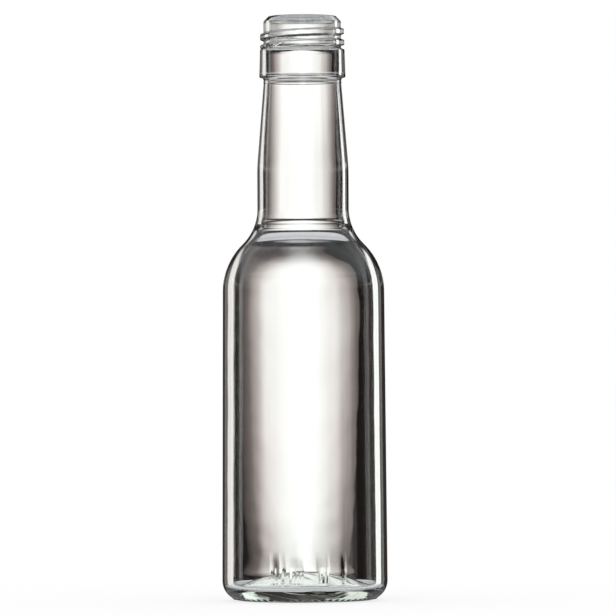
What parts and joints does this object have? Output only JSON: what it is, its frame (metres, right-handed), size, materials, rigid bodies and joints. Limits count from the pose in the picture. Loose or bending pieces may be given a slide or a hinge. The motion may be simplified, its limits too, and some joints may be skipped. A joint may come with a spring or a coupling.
{
  "type": "wine bottle",
  "caption": "Small empty clear glass wine bottle with a tapered neck, a screw finish with a collar, and a shallow punt.",
  "frame": {"origin": "centre of the bearing ring under the base", "axes": "+Z along the bottle's axis, from the base to the mouth; -Y is the side seen from the front"},
  "size_m": [0.054, 0.054, 0.1913],
  "materials": {
    "clear_glass": "clear glass with a faint green tint, smooth, a little wavy inside"
  },
  "bodies": {
    "root": {"bottle": "clear_glass"}
  },
  "joints": []
}
